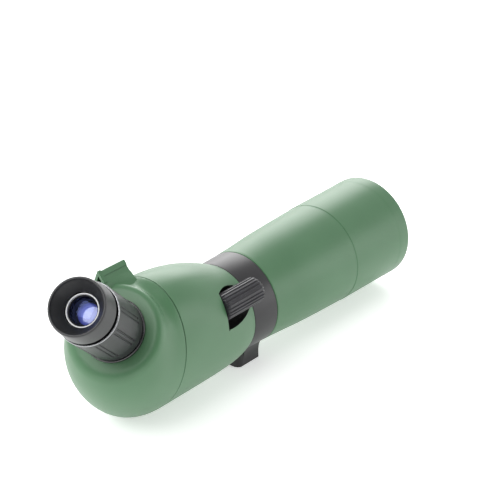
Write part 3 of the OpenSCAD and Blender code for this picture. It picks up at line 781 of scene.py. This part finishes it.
# White ring round the eye lens: a moulded bezel, flush with the eyecup's cone.
# It is pressed over the lens cell and frames the lens.
# Glossy white plastic: bright and even.
BEZEL_BORE = 12
BEZEL_R = 13.1
white_gloss = surface("white_bezel", "#f2f3f4", "#f8f9f9", 10, 0.5, 0.001, 0.4, 0.03)
bezel = turned(
    "eye_lens_ring_skin",
    rounded([
        (BEZEL_BORE, 66.45, 0), (BEZEL_R, 66.45, 0), (BEZEL_R, 68.3, 0.35), (12.2, 68.3, 0.35),
        (BEZEL_BORE, 67.2, 0)]),
    AT_EYE,
)
finish(bezel, white_gloss, "scope", "white_ring", "eye_lens_ring")


# Lenses: polished optical glass with multi-layer coatings, which reflect blue and violet.
# Seen from outside each lens is a dark, deep surface with a real gloss; its coloured sheen is a painted
# reflection, a paler colour round a point near the middle.
LENS_R = 11
LENS_EDGE = 65.6
LENS_DOME = 2.6
LENS_BACK = 55
BACK_FACE_R = 8.6


def glass_with_painted_glint(name, deep, painted_sheen, edge, middle, spread_mm):
    """Dark polished glass with a painted reflection: its colour brightens round a point near its middle."""
    material = bpy.data.materials.new(name)
    material.use_nodes = True
    tree = material.node_tree
    shader = tree.nodes["Principled BSDF"]
    shader.inputs["Roughness"].default_value = 0.04
    shader.inputs["IOR"].default_value = 1.6
    shader.inputs["Coat Weight"].default_value = 1.0
    shader.inputs["Coat Roughness"].default_value = 0.02
    place = add(tree, "TexCoord").outputs["Object"]
    away = add(tree, "VectorMath", {"operation": "DISTANCE", 1: middle}, {0: place})
    glint_share = add(
        tree, "MapRange", {"From Min": 0.0, "From Max": spread_mm * MM, "To Min": 1.0, "To Max": 0.0},
        {"Value": away.outputs["Value"]})
    ramp = add(tree, "ValToRGB", links={"Fac": glint_share.outputs["Result"]})
    ramp.color_ramp.elements[0].color = linear(deep)
    # The colour called edge is the painted highlight, at the middle point.
    ramp.color_ramp.elements[1].color = linear(edge)
    mid = ramp.color_ramp.elements.new(0.45)
    mid.color = linear(painted_sheen)
    tree.links.new(ramp.outputs["Color"], shader.inputs["Base Color"])
    return material


# Objective and prism glass: near black, with a painted green-blue reflection that brightens by the middle.
front_middle = TUBE @ Vector((0.01, 0.186, 0.012))
front_glass = glass_with_painted_glint("objective_painted_glint", "#0c1512", "#1c3530", "#3a6a58", tuple(front_middle), 60)
# Back face of the eye lens: pale violet, a painted reflection that brightens by the middle, with a faint
# painted glow for the daylight that comes through.
lens_back = AT_EYE @ (Vector((0, 0, LENS_BACK)) * MM)
inner_glass = glass_with_painted_glint("eye_lens_back_painted_glow", "#3f4696", "#7780cf", "#a6aee6", tuple(lens_back), 9)
back_shader = inner_glass.node_tree.nodes["Principled BSDF"]
painted_glow_colour = back_shader.inputs["Base Color"].links[0].from_socket
inner_glass.node_tree.links.new(painted_glow_colour, back_shader.inputs["Emission Color"])
# Painted glow: the back face emits its own colour, as if lit through the eyepiece.
back_shader.inputs["Emission Strength"].default_value = 0.18
# Front of the eye lens: clear polished glass with a thin blue shine, a little smeared.
clear_glass = bpy.data.materials.new("clear_coated_glass")
clear_glass.use_nodes = True
glass_tree = clear_glass.node_tree
glass_tree.nodes.remove(glass_tree.nodes["Principled BSDF"])
glass_place = add(glass_tree, "TexCoord").outputs["Object"]
glass_smear = add(glass_tree, "TexNoise", {"Scale": 250.0, "Detail": 2.0}, {"Vector": glass_place})
glass_gloss = add(
    glass_tree, "MapRange", {"To Min": 0.03, "To Max": 0.08}, {"Value": glass_smear.outputs["Fac"]})
mirror = add(
    glass_tree, "BsdfGlossy", {"Color": linear("#9fb0ff")}, {"Roughness": glass_gloss.outputs["Result"]})
see_through = add(glass_tree, "BsdfTransparent", {"Color": linear("#f4f7ff")})
grazing = add(glass_tree, "Fresnel", {"IOR": 1.5})
both = add(
    glass_tree, "MixShader",
    links={"Fac": grazing.outputs["Fac"], 1: see_through.outputs["BSDF"], 2: mirror.outputs["BSDF"]})
glass_tree.links.new(both.outputs["Shader"], glass_tree.nodes["Material Output"].inputs["Surface"])
lens_outline = [Vector(p) for p in (
    (0, 55.4), (4, 55.2), (BACK_FACE_R, 54.6), (10.3, 54.3), (10.3, 62), (LENS_R, 62.6),
    (LENS_R, LENS_EDGE))]
lens_outline += [
    Vector((LENS_R * math.cos(b), LENS_EDGE + LENS_DOME * math.sin(b)))
    for b in [math.pi / 2 * k / 12 for k in range(1, 12)]
]
lens_outline.append(Vector((0, 68.2)))
eye_lens = turned("eye_lens_skin", lens_outline, AT_EYE)
finish(eye_lens, clear_glass, "scope", "coated_glass", "eye_lens")
eye_lens.data.materials.append(inner_glass)
eye_lens.data.materials.append(inner_black)
to_eye = AT_EYE.inverted()
# The middle of the back takes the violet glass with its painted reflection and glow; the lens's sides take
# flat black.
for face in eye_lens.data.polygons:
    x, y, t = (to_eye @ face.center) / MM
    if t < LENS_EDGE + 0.1:
        face.material_index = 1 if math.hypot(x, y) < BACK_FACE_R and t < LENS_BACK + 1 else 2
dress(front_glass, "objective_crown", "objective_flint", "roof_prism", "focus_lens", "variator_lens",
      "compensator_lens")
